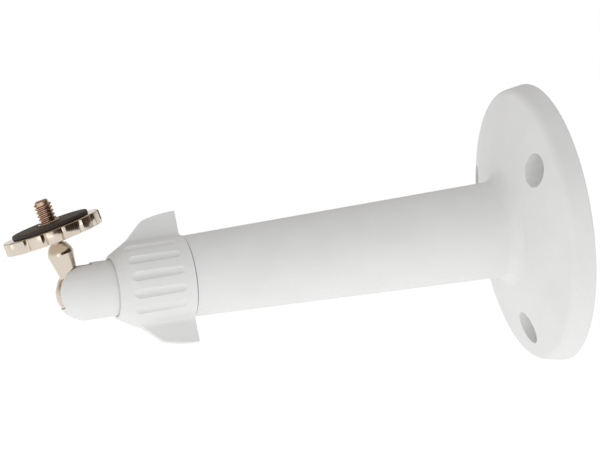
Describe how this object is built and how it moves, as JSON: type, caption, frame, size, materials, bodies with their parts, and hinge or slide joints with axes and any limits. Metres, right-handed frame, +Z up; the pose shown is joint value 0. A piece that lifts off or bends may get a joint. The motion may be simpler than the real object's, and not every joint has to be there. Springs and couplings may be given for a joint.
{
  "type": "camera wall bracket",
  "caption": "White wall bracket for a small camera: round screw-down base, tapered arm, winged collar clamping a ball socket, and a tilting camera screw with a notched lock disc.",
  "frame": {"origin": "centre of the base's back face, where the arm's axis meets the wall", "axes": "+Y into the wall along the arm's axis (the arm reaches out along -Y), +Z up, +X to one side"},
  "size_m": [0.0998, 0.1957, 0.0998],
  "materials": {
    "white_plastic": "fine-textured matte off-white moulding",
    "polished_nickel": "bright warm nickel plate on turned steel",
    "plated_steel": "dull zinc plate",
    "acetal": "natural acetal",
    "pad_rubber": "dark brown matt rubber"
  },
  "bodies": {
    "arm": {"base_arm": "white_plastic", "thread_bush": "plated_steel", "bush_nut": "plated_steel", "pan_washer": "acetal"},
    "socket": {"split_socket": "white_plastic", "retaining_clip": "plated_steel", "ball_seat": "acetal", "seat_cushion": "pad_rubber", "preload_plug": "plated_steel"},
    "wedge": {"clamp_ring": "acetal"},
    "collar": {"clamp_collar": "white_plastic"},
    "ball": {"ball": "polished_nickel"},
    "stem": {"stud": "polished_nickel", "camera_screw": "polished_nickel", "disc_pad": "pad_rubber"},
    "disc": {"lock_disc": "polished_nickel"}
  },
  "joints": [
    {"name": "socket_pan", "type": "hinge", "parent": "arm", "child": "socket", "pos_m": [0, -0.15, 0], "axis": [0, 1, 0], "continuous": true},
    {"name": "collar_travel", "type": "slide", "parent": "arm", "child": "wedge", "axis": [0, -1, 0], "range_m": [0, 0.002]},
    {"name": "collar_turn", "type": "hinge", "parent": "wedge", "child": "collar", "pos_m": [0, -0.15, 0], "axis": [0, -1, 0], "range_deg": [0, 360]},
    {"name": "ball_tilt", "type": "hinge", "parent": "socket", "child": "ball", "pos_m": [0, -0.1732, 0], "axis": [1, 0, 0], "range_deg": [-20, 90]},
    {"name": "stud_twist", "type": "hinge", "parent": "ball", "child": "stem", "pos_m": [0, -0.1732, 0], "axis": [0, -0.225, 0.9744], "continuous": true},
    {"name": "disc_turn", "type": "hinge", "parent": "stem", "child": "disc", "pos_m": [0, -0.1732, 0], "axis": [0, -0.225, 0.9744], "range_deg": [0, 720]}
  ],
  "couplings": [
    {"joint": "collar_travel", "follows": "collar_turn", "m_per_rad": 0.00031831}
  ]
}
